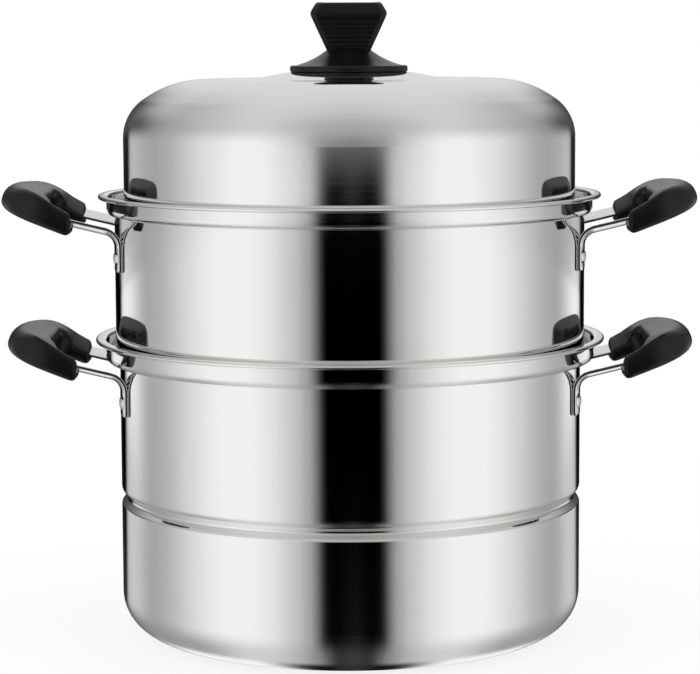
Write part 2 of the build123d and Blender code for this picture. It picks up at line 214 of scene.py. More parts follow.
def rolled_sheet_outline(corners, bends, rim_radius, rim_height):
    """Outline of a sheet that ends in a rolled edge level with its upper face."""
    centre = (rim_radius - roll, rim_height - roll)
    reach = sqrt(roll**2 - (roll - sheet) ** 2)
    line = bent_line(corners + [(centre[0] - reach, rim_height - sheet)], bends)
    junction = degrees(atan2(roll - sheet, -reach))
    top = 360 + 90
    outside = [point for point, normal in line]
    inside = [point + normal * sheet for point, normal in reversed(line)]
    return outside + round_edge(centre, roll, junction, top)[1:] + inside


spin, given = new_tree(
    "spun_on_a_lathe", {"Outline": "Geometry", "Steps round": "Int", "Metal": "Material"}
)
outline_size = add_node(
    spin, "GeometryNodeAttributeDomainSize", {"Geometry": given["Outline"]}, component="MESH"
)
columns = add_node(spin, "FunctionNodeIntegerMath", (given["Steps round"], 1), operation="ADD")
grid = add_node(
    spin,
    "GeometryNodeMeshGrid",
    {"Vertices X": outline_size.outputs["Point Count"], "Vertices Y": columns},
)
index = add_node(spin, "GeometryNodeInputIndex")
row = add_node(spin, "FunctionNodeIntegerMath", (index, columns), operation="DIVIDE_FLOOR")
column = add_node(spin, "FunctionNodeIntegerMath", (index, columns), operation="MODULO")
share = add_node(spin, "ShaderNodeMath", (column, given["Steps round"]), operation="DIVIDE")
turn = add_node(spin, "ShaderNodeMath", (share, 2 * pi), operation="MULTIPLY")
outline_place = add_node(spin, "GeometryNodeInputPosition")
picked = add_node(
    spin,
    "GeometryNodeSampleIndex",
    {"Geometry": given["Outline"], "Value": outline_place, "Index": row},
    data_type="FLOAT_VECTOR",
    domain="POINT",
)
turned = add_node(
    spin,
    "ShaderNodeVectorRotate",
    {"Vector": picked.outputs["Value"], "Angle": turn},
    rotation_type="Z_AXIS",
)
spun = add_node(spin, "GeometryNodeSetPosition", {"Geometry": grid, "Position": turned})
closed = add_node(spin, "GeometryNodeMergeByDistance", {"Geometry": spun, "Distance": 2 * doubles})
smooth = add_node(spin, "GeometryNodeSetShadeSmooth", {"Geometry": closed})
end_tree(spin, smooth, given["Metal"])


def spun_piece(name, outline, steps, metal):
    """A closed mesh spun round Z from an outline in millimetres."""
    mesh = bpy.data.meshes.new(name)
    places = [(point.x * mm, 0, point.y * mm) for point in outline]
    mesh.from_pydata(places, [(at, at + 1) for at in range(len(places) - 1)], [])
    return plain_mesh(new_piece(name, mesh), spin, {"Steps round": steps, "Metal": metal})


# Mirror-polished 18/8 stainless steel: buffed round its axis, so it is a near mirror with
# very faint rings in its gloss. Real buffing lines are about 0.05 mm apart; they are drawn
# 0.9 mm apart, the finest that shows.
buffing_pitch = 0.9
polished_steel = new_material("mirror_polished_stainless_steel", "#F1F0EE", {"Metallic": 1.0})
tree = polished_steel.node_tree
place = add_node(tree, "ShaderNodeTexCoord").outputs["Object"]
flat = add_node(tree, "ShaderNodeVectorMath", (place, (1, 1, 0)), operation="MULTIPLY")
radius = add_node(tree, "ShaderNodeVectorMath", (flat,), operation="LENGTH").outputs["Value"]
height = add_node(tree, "ShaderNodeSeparateXYZ", (place,)).outputs["Z"]
rings = add_node(tree, "ShaderNodeCombineXYZ", {"X": radius, "Z": height})
buffing = add_node(
    tree,
    "ShaderNodeTexNoise",
    {"Vector": rings, "Scale": 1 / (buffing_pitch * mm), "Detail": 2.0, "Roughness": 0.6},
)
uneven_gloss(polished_steel, buffing, 0.035, 0.06)

pot_corners = [
    (0, 0),
    (pot_wall, 0),
    (pot_wall, groove_foot),
    (groove_radius, groove_middle),
    (pot_wall, groove_top),
    (pot_wall, pot_ledge),
    (pot_collar, pot_ledge),
    (pot_collar, pot_rim_height - sheet),
]
pot_bends = [25.7, 2.0, 1.5, 5.0, 0.5, 4.8, 1.5]
pot_body = spun_piece(
    "pot_body_polished",
    rolled_sheet_outline(pot_corners, pot_bends, pot_rim, pot_rim_height),
    steps_round,
    polished_steel,
)
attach(pot_body, "pot")
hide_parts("pot_body")


# Steam plate: a loose disc of satin sheet that lies on the groove. Its steam holes are
# punched on rings of even pitch, and two larger holes are for lifting it out.
plate_underside = 88.83
plate_thickness = 1.0
plate_radius = 138.3
plate_edge = 0.4
disc_radius = 110.0
hole_diameter = 7.0
ring_pitch = 24.0
ring_count = 4
finger_hole_diameter = 20.0
finger_hole_offset = 84.0

punched, given = new_tree(
    "punched_disc",
    {
        "Rim": "Geometry",
        "Disc radius": "Float",
        "Underside": "Float",
        "Thickness": "Float",
        "Hole diameter": "Float",
        "Ring pitch": "Float",
        "Finger hole diameter": "Float",
        "Finger hole offset": "Float",
        "Steps round": "Int",
        "Ring count": "Int",
        "Finger holes": "Int",
        "Metal": "Material",
    },
)

# The ring n carries 6n holes, so n rings carry 3n(n + 1) round the middle one. A hole's
# number gives its ring through the root of that sum, and its turn within the ring.
rings = given["Ring count"]
index = add_node(punched, "GeometryNodeInputIndex")
next_ring = add_node(punched, "ShaderNodeMath", (rings, 1.0), operation="ADD")
ring_product = add_node(punched, "ShaderNodeMath", (rings, next_ring), operation="MULTIPLY")
hole_count = add_node(punched, "ShaderNodeMath", (ring_product, 3.0, 1.0), operation="MULTIPLY_ADD")
spread = add_node(punched, "ShaderNodeMath", (index, 12.0, -3.0), operation="MULTIPLY_ADD")
spread = add_node(punched, "ShaderNodeMath", (spread, 0.0), operation="MAXIMUM")
root = add_node(punched, "ShaderNodeMath", (spread,), operation="SQRT")
ring_share = add_node(punched, "ShaderNodeMath", (root, 3.0), operation="ADD")
ring_share = add_node(punched, "ShaderNodeMath", (ring_share, 6.0), operation="DIVIDE")
ring_share = add_node(punched, "ShaderNodeMath", (ring_share, 0.0001), operation="ADD")
ring_number = add_node(punched, "ShaderNodeMath", (ring_share,), operation="FLOOR")
ring_inside = add_node(punched, "ShaderNodeMath", (ring_number, 1.0), operation="SUBTRACT")
before = add_node(punched, "ShaderNodeMath", (ring_number, ring_inside), operation="MULTIPLY")
first_of_ring = add_node(punched, "ShaderNodeMath", (before, 3.0, 1.0), operation="MULTIPLY_ADD")
turn_number = add_node(punched, "ShaderNodeMath", (index, first_of_ring), operation="SUBTRACT")
turn_share = add_node(punched, "ShaderNodeMath", (turn_number, ring_number), operation="DIVIDE")
turn = add_node(punched, "ShaderNodeMath", (turn_share, pi / 3), operation="MULTIPLY")
distance = add_node(punched, "ShaderNodeMath", (ring_number, given["Ring pitch"]), operation="MULTIPLY")
ways = [add_node(punched, "ShaderNodeMath", (turn,), operation=part) for part in ("COSINE", "SINE")]
hole_place = add_node(
    punched,
    "ShaderNodeCombineXYZ",
    [add_node(punched, "ShaderNodeMath", (distance, way), operation="MULTIPLY") for way in ways],
)
spots = add_node(punched, "GeometryNodePoints", {"Count": hole_count, "Position": hole_place})

# A steam hole that would touch a finger hole is left out.
spot_place = add_node(punched, "GeometryNodeInputPosition")
here = add_node(punched, "ShaderNodeSeparateXYZ", (spot_place,)).outputs
aside = add_node(punched, "ShaderNodeMath", (here["Y"],), operation="ABSOLUTE")
aside = add_node(punched, "ShaderNodeMath", (aside, given["Finger hole offset"]), operation="SUBTRACT")
from_finger = add_node(punched, "ShaderNodeCombineXYZ", (here["X"], aside))
apart = add_node(punched, "ShaderNodeVectorMath", (from_finger,), operation="LENGTH").outputs["Value"]
both = add_node(
    punched, "ShaderNodeMath", (given["Finger hole diameter"], given["Hole diameter"]), operation="ADD"
)
least_apart = add_node(punched, "ShaderNodeMath", (both, 0.55), operation="MULTIPLY")
too_near = add_node(
    punched, "FunctionNodeCompare", (apart, least_apart), data_type="FLOAT", operation="LESS_THAN"
)
kept = add_node(
    punched, "GeometryNodeDeleteGeometry", {"Geometry": spots, "Selection": too_near}, domain="POINT"
)
hole_radius = add_node(punched, "ShaderNodeMath", (given["Hole diameter"], 2.0), operation="DIVIDE")
hole_edge = add_node(
    punched, "GeometryNodeCurvePrimitiveCircle", {"Resolution": 28, "Radius": hole_radius}
)
steam_holes = add_node(
    punched, "GeometryNodeInstanceOnPoints", {"Points": kept, "Instance": hole_edge}
)
side = add_node(punched, "ShaderNodeMath", (index, -2.0, 1.0), operation="MULTIPLY_ADD")
aside = add_node(punched, "ShaderNodeMath", (side, given["Finger hole offset"]), operation="MULTIPLY")
finger_place = add_node(punched, "ShaderNodeCombineXYZ", {"Y": aside})
finger_spots = add_node(
    punched, "GeometryNodePoints", {"Count": given["Finger holes"], "Position": finger_place}
)
finger_radius = add_node(
    punched, "ShaderNodeMath", (given["Finger hole diameter"], 2.0), operation="DIVIDE"
)
finger_edge = add_node(
    punched, "GeometryNodeCurvePrimitiveCircle", {"Resolution": 48, "Radius": finger_radius}
)
finger_holes = add_node(
    punched, "GeometryNodeInstanceOnPoints", {"Points": finger_spots, "Instance": finger_edge}
)

# The disc is filled between its edge and the holes' edges, copied upwards by the sheet's
# thickness, and the holes get their walls.
edges = add_node(punched, "GeometryNodeJoinGeometry", {"Geometry": [steam_holes, finger_holes]})
hole_edges = add_node(punched, "GeometryNodeRealizeInstances", {"Geometry": edges})
disc_edge = add_node(
    punched,
    "GeometryNodeCurvePrimitiveCircle",
    {"Resolution": given["Steps round"], "Radius": given["Disc radius"]},
)
outline = add_node(punched, "GeometryNodeJoinGeometry", {"Geometry": [hole_edges, disc_edge]})
face = add_node(punched, "GeometryNodeFillCurve", {"Curve": outline}, mode="TRIANGLES")
lift = add_node(punched, "ShaderNodeCombineXYZ", {"Z": given["Thickness"]})
upper_face = add_node(punched, "GeometryNodeTransform", {"Geometry": face, "Translation": lift})
wires = add_node(punched, "GeometryNodeCurveToMesh", {"Curve": hole_edges})
walls = add_node(
    punched,
    "GeometryNodeExtrudeMesh",
    {"Mesh": wires, "Offset": lift, "Offset Scale": 1.0},
    mode="EDGES",
)
disc = add_node(punched, "GeometryNodeJoinGeometry", {"Geometry": [face, upper_face, walls]})
level = add_node(punched, "ShaderNodeCombineXYZ", {"Z": given["Underside"]})
raised = add_node(punched, "GeometryNodeTransform", {"Geometry": disc, "Translation": level})
whole = add_node(punched, "GeometryNodeJoinGeometry", {"Geometry": [given["Rim"], raised]})
merged = add_node(
    punched, "GeometryNodeMergeByDistance", {"Geometry": whole, "Distance": 4 * doubles}
)
end_tree(punched, merged, given["Metal"])

# Satin stainless sheet: brushed in one direction before punching, with a soft broad gloss.
# Brush lines are about 0.1 mm wide; they are drawn 0.6 mm wide and 20 mm long.
brush_length, brush_width = 20.0, 0.6
satin_steel = new_material("satin_stainless_sheet", "#DEDDDA", {"Metallic": 1.0})
tree = satin_steel.node_tree
place = add_node(tree, "ShaderNodeTexCoord").outputs["Object"]
brush_scale = (1 / (brush_length * mm), 1 / (brush_width * mm), 1 / (brush_length * mm))
drawn = add_node(tree, "ShaderNodeVectorMath", (place, brush_scale), operation="MULTIPLY")
brushing = add_node(tree, "ShaderNodeTexNoise", {"Vector": drawn, "Scale": 1.0, "Detail": 2.0})
uneven_gloss(satin_steel, brushing, 0.22, 0.36)

plate_top = plate_underside + plate_thickness
edge_middle = plate_radius - plate_edge
plate_radii = (disc_radius, disc_radius + hold, edge_middle - hold)
plate_outline = [Vector((radius, plate_underside)) for radius in plate_radii]
plate_outline += round_edge((edge_middle, plate_underside + plate_edge), plate_edge, -90, 0, 6)
plate_outline += round_edge((edge_middle, plate_top - plate_edge), plate_edge, 0, 90, 6)
plate_outline += [Vector((radius, plate_top)) for radius in reversed(plate_radii)]
steam_plate = spun_piece("steam_plate_punched", plate_outline, steps_round, satin_steel)
steam_plate = plain_mesh(
    steam_plate,
    punched,
    {
        "Disc radius": disc_radius * mm,
        "Underside": plate_underside * mm,
        "Thickness": plate_thickness * mm,
        "Hole diameter": hole_diameter * mm,
        "Ring pitch": ring_pitch * mm,
        "Finger hole diameter": finger_hole_diameter * mm,
        "Finger hole offset": finger_hole_offset * mm,
        "Steps round": steps_round,
        "Ring count": ring_count,
        "Finger holes": 2,
        "Metal": satin_steel,
    },
)
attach(steam_plate, "steam_plate")
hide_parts("steam_plate")


# Tier body: a second stamping of the same sheet. A neck drops into the pot's mouth, the
# wall's foot stands on the pot's ledge, and the floor is punched with rings of steam holes.
tier_wall = 142.2
tier_rim = 152.0
tier_rim_height = 267.5
tier_ledge = 255.4
tier_collar = 146.9
neck = 138.4
floor_height = 149.3
out_of_reach = 1.0  # metres: with no finger hole near, the tier keeps every steam hole
pot_seat = pot_ledge + sheet
tier_corners = [
    (disc_radius, floor_height),
    (neck, floor_height),
    (neck, pot_seat),
    (tier_wall, pot_seat),
    (tier_wall, tier_ledge),
    (tier_collar, tier_ledge),
    (tier_collar, tier_rim_height - sheet),
]
tier_bends = [5.0, 0.5, 1.0, 0.5, 3.5, 1.5]
tier_body = spun_piece(
    "tier_body_polished",
    rolled_sheet_outline(tier_corners, tier_bends, tier_rim, tier_rim_height),
    steps_round,
    polished_steel,
)
tier_body = plain_mesh(
    tier_body,
    punched,
    {
        "Disc radius": disc_radius * mm,
        "Underside": floor_height * mm,
        "Thickness": sheet * mm,
        "Hole diameter": hole_diameter * mm,
        "Ring pitch": ring_pitch * mm,
        "Finger hole offset": out_of_reach,
        "Steps round": steps_round,
        "Ring count": ring_count,
        "Metal": polished_steel,
    },
)
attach(tier_body, "tier")
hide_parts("tier_body")


# Lid shell: a third stamping. Its flange lies on the tier's ledge with its edge turned up,
# and above the straight wall a soft shoulder runs into a flat ring and a raised centre.
lid_wall = 136.4
lid_top = 336.1
lid_bore = 2.3
crown = lid_top + 4.0
crown_edge, crown_foot = 37.0, 59.0
shoulder_start, shoulder_drop = 105.4, 19.4
lid_flange = 143.4
lid_edge = 1.1
lid_edge_gap = 0.2
tier_seat = tier_ledge + sheet
flange_top = tier_seat + sheet
lid_edge_centre = (lid_flange, tier_seat + lid_edge_gap + lid_edge)
lid_reach = sqrt(lid_edge**2 - (lid_edge_centre[1] - flange_top) ** 2)
lid_corners = [
    (lid_bore, crown),
    (crown_edge, crown),
    (crown_foot, lid_top),
    (shoulder_start, lid_top),
    (lid_wall, lid_top - shoulder_drop),
    (lid_wall, flange_top),
    (lid_flange - lid_reach, flange_top),
]
lid_bends = [6.0, 6.0, 60.0, 28.0, 2.5]
lid_line = bent_line(lid_corners, lid_bends, arc_step=radians(3))
lid_junction = degrees(atan2(flange_top - lid_edge_centre[1], -lid_reach)) + 360
lid_outline = [point for point, normal in lid_line]
lid_outline += round_edge(lid_edge_centre, lid_edge, lid_junction, -90)[1:]
lid_outline += [point - normal * sheet for point, normal in reversed(lid_line)]
lid_outline.append(lid_outline[0])
lid_shell = spun_piece("lid_shell_polished", lid_outline, steps_round, polished_steel)
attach(lid_shell, "lid")
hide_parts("lid_shell")


# Knob: one pressing of black phenolic resin. A round foot flares up into a six-sided blade,
# widest near the top, with level finger ribs across its front and back. Heights are above
# the lid's raised centre.
waist_level, widest_level, blade_top = 13.3, 35.2, 42.0
half_widths = (13.3, 23.5, 19.3)
half_depths = (9.5, 12.5, 9.5)
widest_softness = 1.2
blade_chamfer = 3.2
blade_corner = 0.7
blade_start = 10.5
slice_rise = 0.15
top_edge = 1.5
dish_depth, dish_run = 0.9, 6.0
first_rib, rib_pitch, rib_width, rib_depth, rib_count = 17.5, 2.6, 1.3, 0.35, 6
foot_bore, foot_hub, foot_land, foot_hollow = 4.0, 9.0, 31.0, 1.6
rim_under, rim_under_round = (34.1, 1.4), 1.4
rim_over, rim_over_round = (33.9, 2.5), 1.6
flare_start = Vector((33.2, 4.5))
flare_low, flare_high = Vector((35.5, 3.4)), Vector((waist_level, half_widths[0]))
flare_square_on = Vector((9.9, 22.2)).normalized()
flare_radius, flare_chord = 50.0, 24.31

# Moulded phenolic: near black and half glossy, with the faint unevenness of a pressed skin.
skin_grain = 1.2
bakelite = new_material(
    "black_moulded_phenolic_resin", "#0D0D0D", {"IOR": 1.5, "Specular IOR Level": 0.3}
)
tree = bakelite.node_tree
place = add_node(tree, "ShaderNodeTexCoord").outputs["Object"]
grain = add_node(
    tree, "ShaderNodeTexNoise", {"Vector": place, "Scale": 1 / (skin_grain * mm), "Detail": 3.0}
)
uneven_gloss(bakelite, grain, 0.26, 0.36)


def lofted(name, rings, material):
    """A closed tube through rings of points in millimetres, with a fan over each end."""
    shape = bmesh.new()
    rows = [[shape.verts.new(Vector(point) * mm) for point in ring] for ring in rings]
    count = len(rings[0])
    for lower, upper in zip(rows, rows[1:]):
        for at in range(count):
            shape.faces.new((lower[at], lower[(at + 1) % count], upper[(at + 1) % count], upper[at]))
    for row in (rows[0], rows[-1]):
        middle = shape.verts.new(sum((vert.co for vert in row), Vector()) / count)
        for at in range(count):
            shape.faces.new((row[at], row[(at + 1) % count], middle))
    mesh = bpy.data.meshes.new(name)
    shape.to_mesh(mesh)
    shape.free()
    mesh.materials.append(material)
    piece = new_piece(name, mesh)
    faces_outwards(piece)
    return piece


def rounded_polygon(corners, radii, steps=3):
    """A polygon with each corner turned into an arc of its own radius."""
    outline = []
    for at, (corner, radius) in enumerate(zip(corners, radii)):
        corner = Vector(corner)
        into = (Vector(corners[at - 1]) - corner).normalized()
        out = (Vector(corners[(at + 1) % len(corners)]) - corner).normalized()
        half = into.angle(out) / 2
        centre = corner + (into + out).normalized() * radius / sin(half)
        first = corner + into * radius / tan(half) - centre
        last = corner + out * radius / tan(half) - centre
        sweep = atan2(first.cross(last), first.dot(last))
        for step in range(steps + 1):
            outline.append(centre + Matrix.Rotation(sweep * step / steps, 2) @ first)
    return outline


def blade_ring(height, inset=0.0, scale=1.0):
    """Outline of the blade at a height: two tapers that meet in a soft edge, and a dished top."""
    up = (height - waist_level) / (widest_level - waist_level)
    down = (height - widest_level) / (blade_top - widest_level)
    halves = []
    for waist, widest, top in (half_widths, half_depths):
        lower = waist + (widest - waist) * up
        upper = widest + (top - widest) * down
        halves.append(scale * ((lower + upper - hypot(lower - upper, widest_softness)) / 2 - inset))
    x, y = halves
    cut = blade_chamfer * scale
    corners = [(x, -y + cut), (x, y - cut), (x - cut, y), (cut - x, y)]
    corners += [(-x, y - cut), (-x, cut - y), (cut - x, -y), (x - cut, -y)]
    dished = max(0.0, (height - (blade_top - dish_run)) / dish_run) ** 2
    ring = []
    for point in rounded_polygon(corners, [blade_corner * scale] * len(corners)):
        dip = dish_depth * (1 - (point.x / half_widths[2]) ** 2) * dished
        ring.append((point.x, point.y, crown + height - dip))
    return ring


slices = round((blade_top - top_edge - blade_start) / slice_rise)
blade_rings = [blade_ring(blade_start + slice_rise * step) for step in range(slices)]
for step in range(7):
    lean = radians(15 * step)
    blade_rings.append(blade_ring(blade_top - top_edge * (1 - sin(lean)), top_edge * (1 - cos(lean))))
blade_rings += [blade_ring(blade_top, top_edge, share) for share in (0.75, 0.5, 0.25, 0.08)]
knob = lofted("knob_pressed", blade_rings, bakelite)

ribbed, given = new_tree(
    "ribs_across_front_and_back",
    {
        "Blade": "Geometry",
        "First height": "Float",
        "Rib pitch": "Float",
        "Rib width": "Float",
        "Rib depth": "Float",
        "Waist height": "Float",
        "Waist half depth": "Float",
        "Taper": "Float",
        "Rib count": "Int",
        "Material": "Material",
    },
)
blade_place = add_node(ribbed, "GeometryNodeInputPosition")
parts = add_node(ribbed, "ShaderNodeSeparateXYZ", (blade_place,)).outputs
above_first = add_node(ribbed, "ShaderNodeMath", (parts["Z"], given["First height"]), operation="SUBTRACT")
nearest = add_node(ribbed, "ShaderNodeMath", (above_first, given["Rib pitch"]), operation="DIVIDE")
nearest = add_node(ribbed, "ShaderNodeMath", (nearest,), operation="ROUND")
nearest = add_node(ribbed, "ShaderNodeMath", (nearest, 0.0), operation="MAXIMUM")
last = add_node(ribbed, "ShaderNodeMath", (given["Rib count"], 1.0), operation="SUBTRACT")
nearest = add_node(ribbed, "ShaderNodeMath", (nearest, last), operation="MINIMUM")
nearest_level = add_node(ribbed, "ShaderNodeMath", (nearest, given["Rib pitch"]), operation="MULTIPLY")
off = add_node(ribbed, "ShaderNodeMath", (above_first, nearest_level), operation="SUBTRACT")
off = add_node(ribbed, "ShaderNodeMath", (off,), operation="ABSOLUTE")
half_rib = add_node(ribbed, "ShaderNodeMath", (given["Rib width"], 2.0), operation="DIVIDE")
groove = add_node(
    ribbed,
    "ShaderNodeMapRange",
    {"Value": off, "From Min": 0.0, "From Max": half_rib, "To Min": 1.0, "To Max": 0.0},
    interpolation_type="SMOOTHSTEP",
)
cut = add_node(ribbed, "ShaderNodeMath", (groove, given["Rib depth"]), operation="MULTIPLY")
above_waist = add_node(ribbed, "ShaderNodeMath", (parts["Z"], given["Waist height"]), operation="SUBTRACT")
face_depth = add_node(
    ribbed,
    "ShaderNodeMath",
    (above_waist, given["Taper"], given["Waist half depth"]),
    operation="MULTIPLY_ADD",
)
cut_depth = add_node(ribbed, "ShaderNodeMath", (face_depth, cut), operation="SUBTRACT")
depth = add_node(ribbed, "ShaderNodeMath", (parts["Y"],), operation="ABSOLUTE")
depth = add_node(ribbed, "ShaderNodeMath", (depth, cut_depth), operation="MINIMUM")
hand = add_node(ribbed, "ShaderNodeMath", (parts["Y"],), operation="SIGN")
pressed_in = add_node(ribbed, "ShaderNodeMath", (hand, depth), operation="MULTIPLY")
pressed = add_node(ribbed, "ShaderNodeCombineXYZ", (parts["X"], pressed_in, parts["Z"]))
moved = add_node(ribbed, "GeometryNodeSetPosition", {"Geometry": given["Blade"], "Position": pressed})
end_tree(ribbed, moved, given["Material"])
knob = plain_mesh(
    knob,
    ribbed,
    {
        "First height": (crown + first_rib) * mm,
        "Rib pitch": rib_pitch * mm,
        "Rib width": rib_width * mm,
        "Rib depth": rib_depth * mm,
        "Rib count": rib_count,
        "Waist height": (crown + waist_level) * mm,
        "Waist half depth": half_depths[0] * mm,
        "Taper": (half_depths[1] - half_depths[0]) / (widest_level - waist_level),
        "Material": bakelite,
    },
)


def joined(name, pieces):
    """Several closed pieces in one mesh."""
    shape = bmesh.new()
    for piece in pieces:
        shape.from_mesh(piece.data)
    mesh = bpy.data.meshes.new(name)
    shape.to_mesh(mesh)
    shape.free()
    mesh.materials.append(pieces[0].data.materials[0])
    for piece in pieces:
        bpy.data.objects.remove(piece)
    mesh.shade_smooth()
    mesh.set_sharp_from_angle(angle=sharp_bend)
    return new_piece(name, mesh)


flare_centre = flare_low.lerp(flare_high, 0.5)
flare_centre += flare_square_on * sqrt(flare_radius**2 - (flare_chord / 2) ** 2)
flare_first, flare_last = (
    degrees(atan2(end.y - flare_centre.y, end.x - flare_centre.x)) for end in (flare_start, flare_high)
)
foot_outline = [
    Vector((foot_bore, 0.0)),
    Vector((foot_hub, 0.0)),
    Vector((foot_hub, foot_hollow)),
    Vector((foot_land, foot_hollow)),
    Vector((foot_land, 0.0)),
]
foot_outline += round_edge(rim_under, rim_under_round, -90, 0, 8)
foot_outline += round_edge(rim_over, rim_over_round, 0, 80, 8)
foot_outline += round_edge(flare_centre, flare_radius, flare_first, flare_last, 20)
foot_outline += [Vector((foot_bore, waist_level)), Vector((foot_bore, 0.0))]
foot_outline = [Vector((point.x, point.y + crown)) for point in foot_outline]
foot = spun_piece("knob_foot_pressed", foot_outline, steps_round // 2, bakelite)
knob = joined("knob_pressed_whole", [knob, foot])
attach(knob, "lid")
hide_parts("lid_knob")


# Knob fixing: a turned brass bush moulded into the knob, and from inside the lid a
# nickel-plated slotted screw with a plain washer. Their edges are broken as on a lathe.
broken_edge = 0.12
same_plane = radians(1)
real_corner = radians(40)

# Turned brass is bright yellow with a fine tool finish; nickel plate is a warmer, softer
# mirror than polished steel.
brass = new_material("turned_brass", "#D9B56B", {"Metallic": 1.0, "Roughness": 0.25})
nickel = new_material("nickel_plated_steel", "#D8D5CE", {"Metallic": 1.0, "Roughness": 0.18})


def eased_copy(name, node_name, material):
    """A merged copy of a solid of the CAD frame with its edges broken by a small bevel."""
    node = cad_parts[node_name]
    shape = bmesh.new()
    shape.from_mesh(node.data)
    shape.transform(node.matrix_world)
    bmesh.ops.remove_doubles(shape, verts=shape.verts, dist=doubles)
    bmesh.ops.dissolve_limit(shape, angle_limit=same_plane, verts=shape.verts, edges=shape.edges)
    mesh = bpy.data.meshes.new(name)
    shape.to_mesh(mesh)
    shape.free()
    piece = new_piece(name, mesh)
    bevel = piece.modifiers.new("broken_edge", "BEVEL")
    bevel.width = broken_edge * mm
    bevel.segments = 2
    bevel.limit_method = "ANGLE"
    bevel.angle_limit = real_corner
    piece.data = worked_in(piece)
    piece.modifiers.clear()
    piece.data.materials.clear()
    piece.data.materials.append(material)
    faces_outwards(piece)
    return piece


for node_name, metal, slot_name in (
    ("knob_insert", brass, "brass"),
    ("knob_washer", nickel, "plated_steel"),
    ("knob_screw", nickel, "plated_steel"),
):
    fixing = eased_copy(node_name + "_turned", node_name, metal)
    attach(fixing, "lid")
    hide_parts(node_name)


# Handle straps: bright stainless strip with rolled edges. Each foot lies on the wall, bends
# outwards, keeps its lean along the arm and twists flat inside the grip.
vessels = (("pot", pot_wall, pot_rim_height), ("tier", tier_wall, tier_rim_height))
strip_width, strip_thickness = 13.0, 2.0
strip_round = 0.62
corner_steps = 5
strip_middle = 1.0
strap_half_gap = 41.0
foot_drop = 44.5
foot_corner = 3.0
foot_round = 0.6
bend_drop = 19.9
bend_radius = 10.0
bend_turn = radians(78)
bend_steps = 16
grip_tilt = radians(20.8)
grip_reach, grip_drop = 25.8, 20.1
bar_rise = 5.6
twist_run, twist_steps = 12.0, 6
bar_corner, bar_corner_start, bar_steps = 7.5, 19.5, 8

# Bright rolled strip: a mirror only a little softer than the walls, with a faint unevenness.
strip_grain = 0.8
strip_steel = new_material("bright_stainless_strip", "#EDECEA", {"Metallic": 1.0})
tree = strip_steel.node_tree
place = add_node(tree, "ShaderNodeTexCoord").outputs["Object"]
rolling = add_node(
    tree, "ShaderNodeTexNoise", {"Vector": place, "Scale": 1 / (strip_grain * mm), "Detail": 2.0}
)
uneven_gloss(strip_steel, rolling, 0.06, 0.1)

# Strip edge: the two long edges are left as cut and tumbled, so they are dull. Their darker colour is painted
# shade along the strap's sides.
shaded_strip_edge = new_material(
    "strip_edge_painted_shade", "#4C4B49", {"Metallic": 1.0, "Roughness": 0.42}
)


def foot_lean(wall):
    """Angle round the pot of a strap's foot."""
    return asin(strap_half_gap / (wall + strip_middle))


def end_inset(distance, radius):
    """How far a rounded end draws in at a distance from its tip."""
    return radius - sqrt(radius**2 - max(0.0, radius - distance) ** 2)


def leaning_frame(centre, lean, slope):
    """Place, width direction and thickness direction of the strip."""
    along = Vector((sin(slope), 0, cos(slope)))
    across = Vector((-sin(lean) * cos(slope), cos(lean), sin(lean) * sin(slope)))
    return Vector(centre), across, along.cross(across)


def grip_frame(wall, rim):
    """Place of a grip's base line, its way outwards and its way up."""
    place = Vector((wall + grip_reach, 0, rim - grip_drop))
    return place, Vector((cos(grip_tilt), 0, sin(grip_tilt))), Vector((-sin(grip_tilt), 0, cos(grip_tilt)))


def strap_frames(wall, rim):
    """Frames of one half of a strap, from its foot to the middle of the bar, with the width
    and the thickness that the strip has there."""
    lean = foot_lean(wall)
    foot_x = (wall + strip_middle) * cos(lean)
    bottom = rim - foot_drop
    bend_level = rim - bend_drop - bend_radius * sin(bend_turn)
    full = (strip_width, strip_thickness)
    frames = []
    for rise in (0.0, 0.1, 0.3, 0.6, 1.0, 1.6, 2.3, foot_corner):
        width = strip_width - 2 * end_inset(rise, foot_corner)
        thickness = strip_thickness - 2 * end_inset(rise, foot_round)
        frames.append((leaning_frame((foot_x, strap_half_gap, bottom + rise), lean, 0), width, thickness))
    for level in (bottom + foot_corner + hold, bend_level - hold):
        frames.append((leaning_frame((foot_x, strap_half_gap, level), lean, 0), *full))
    for step in range(bend_steps + 1):
        slope = bend_turn * step / bend_steps
        centre = (
            foot_x + bend_radius * (1 - cos(slope)),
            strap_half_gap,
            bend_level + bend_radius * sin(slope),
        )
        frames.append((leaning_frame(centre, lean, slope), *full))
    start = Vector(centre)
    place, out, up = grip_frame(wall, rim)
    level = place + bar_rise * up
    entry = level + Vector((0, strap_half_gap, 0))
    rise = atan2(entry.z - start.z, entry.x - start.x)
    for share in (0.04, 0.5, 0.96):
        frames.append((leaning_frame(start.lerp(entry, share), lean, pi / 2 - rise), *full))
    frames.append((leaning_frame(entry, lean, pi / 2 - (rise + grip_tilt) / 2), *full))
    for step in range(1, twist_steps + 1):
        share = step / twist_steps
        centre = entry + twist_run * share * out
        frames.append((leaning_frame(centre, lean * (1 - share), pi / 2 - grip_tilt), *full))
    for step in range(bar_steps + 1):
        turn = pi / 2 * step / bar_steps
        aside = Vector((0, strap_half_gap - bar_corner + bar_corner * cos(turn), 0))
        centre = level + (bar_corner_start + bar_corner * sin(turn)) * out + aside
        frames.append(((centre, sin(turn) * out + Vector((0, cos(turn), 0)), up), *full))
    frames.append(((level + (bar_corner_start + bar_corner) * out, out, up), *full))
    return frames


